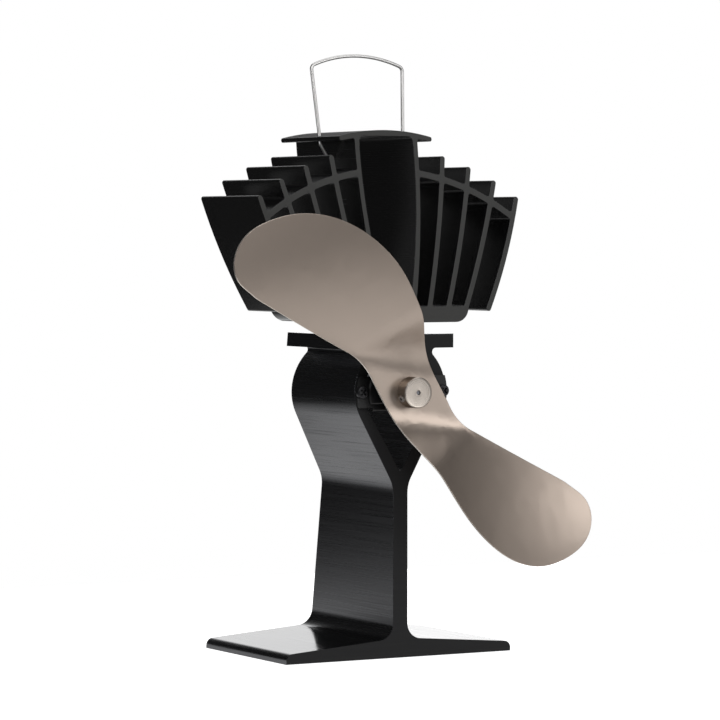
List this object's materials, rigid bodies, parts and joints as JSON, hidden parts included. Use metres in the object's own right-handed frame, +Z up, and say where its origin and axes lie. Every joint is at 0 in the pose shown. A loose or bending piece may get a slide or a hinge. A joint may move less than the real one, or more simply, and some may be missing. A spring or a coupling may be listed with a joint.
{
  "type": "stove fan",
  "caption": "Heat-powered stove-top fan: curved-fin heat sink clamped over a one-piece stand, thermoelectric module between them, small motor turning a wide swept blade, wire handle.",
  "frame": {"origin": "centre of the foot's underside", "axes": "+Z up, +Y to the back, +X to the right as seen from the front, where the blade is"},
  "size_m": [0.1776, 0.1052, 0.2629],
  "materials": {
    "black_extrusion": "black coated extrusion, semi-gloss with fine die lines, matte on the sawn faces",
    "polished_wire": "polished stainless wire",
    "graphite_pad": "graphite sheet",
    "alumina": "ground alumina",
    "semiconductor": "dull grey semiconductor",
    "bush_plastic": "black heat-proof plastic",
    "plain_steel": "plated steel",
    "black_screw": "black oxide steel",
    "plated_can": "zinc-plated sheet steel",
    "sintered_bronze": "oiled sintered bronze",
    "cap_plastic": "black moulded plastic",
    "ferrite": "dark ferrite",
    "core_steel": "lacquered steel sheets",
    "copper": "enamelled or turned copper",
    "carbon": "carbon",
    "terminal_brass": "bright brass strip",
    "shaft_steel": "ground steel",
    "washer_plastic": "pale plastic",
    "black_bracket": "black coated sheet steel",
    "hub_metal": "satin nickel-plated metal",
    "satin_blade": "satin, warm champagne nickel tint",
    "grommet_rubber": "black silicone rubber",
    "red_insulation": "red silicone insulation",
    "black_insulation": "black silicone insulation"
  },
  "bodies": {
    "stand": {"base_stand": "black_extrusion", "heat_sink": "black_extrusion", "wire_handle": "polished_wire", "lower_pad": "graphite_pad", "upper_pad": "graphite_pad", "hot_ceramic": "alumina", "cold_ceramic": "alumina", "semiconductor_legs": "semiconductor", "clamp_bushes": "bush_plastic", "clamp_washers": "plain_steel", "clamp_screws": "black_screw", "motor_can": "plated_can", "front_bushing": "sintered_bronze", "motor_end_cap": "cap_plastic", "rear_bushing": "sintered_bronze", "field_magnets": "ferrite", "carbon_brushes": "carbon", "motor_terminals": "terminal_brass", "motor_bracket": "black_bracket", "bracket_screws": "black_screw", "motor_screws": "black_screw", "lead_grommet": "grommet_rubber", "red_lead": "red_insulation", "black_lead": "black_insulation"},
    "rotor": {"motor_shaft": "shaft_steel", "armature_core": "core_steel", "armature_windings": "copper", "commutator": "copper", "thrust_washers": "washer_plastic", "hub": "hub_metal", "hub_set_screw": "black_screw", "blade": "satin_blade", "blade_washer": "plain_steel"}
  },
  "joints": [
    {"name": "rotor_spin", "type": "hinge", "parent": "stand", "child": "rotor", "pos_m": [0, -0.04635, 0.1157], "axis": [0, -1, 0], "continuous": true}
  ]
}
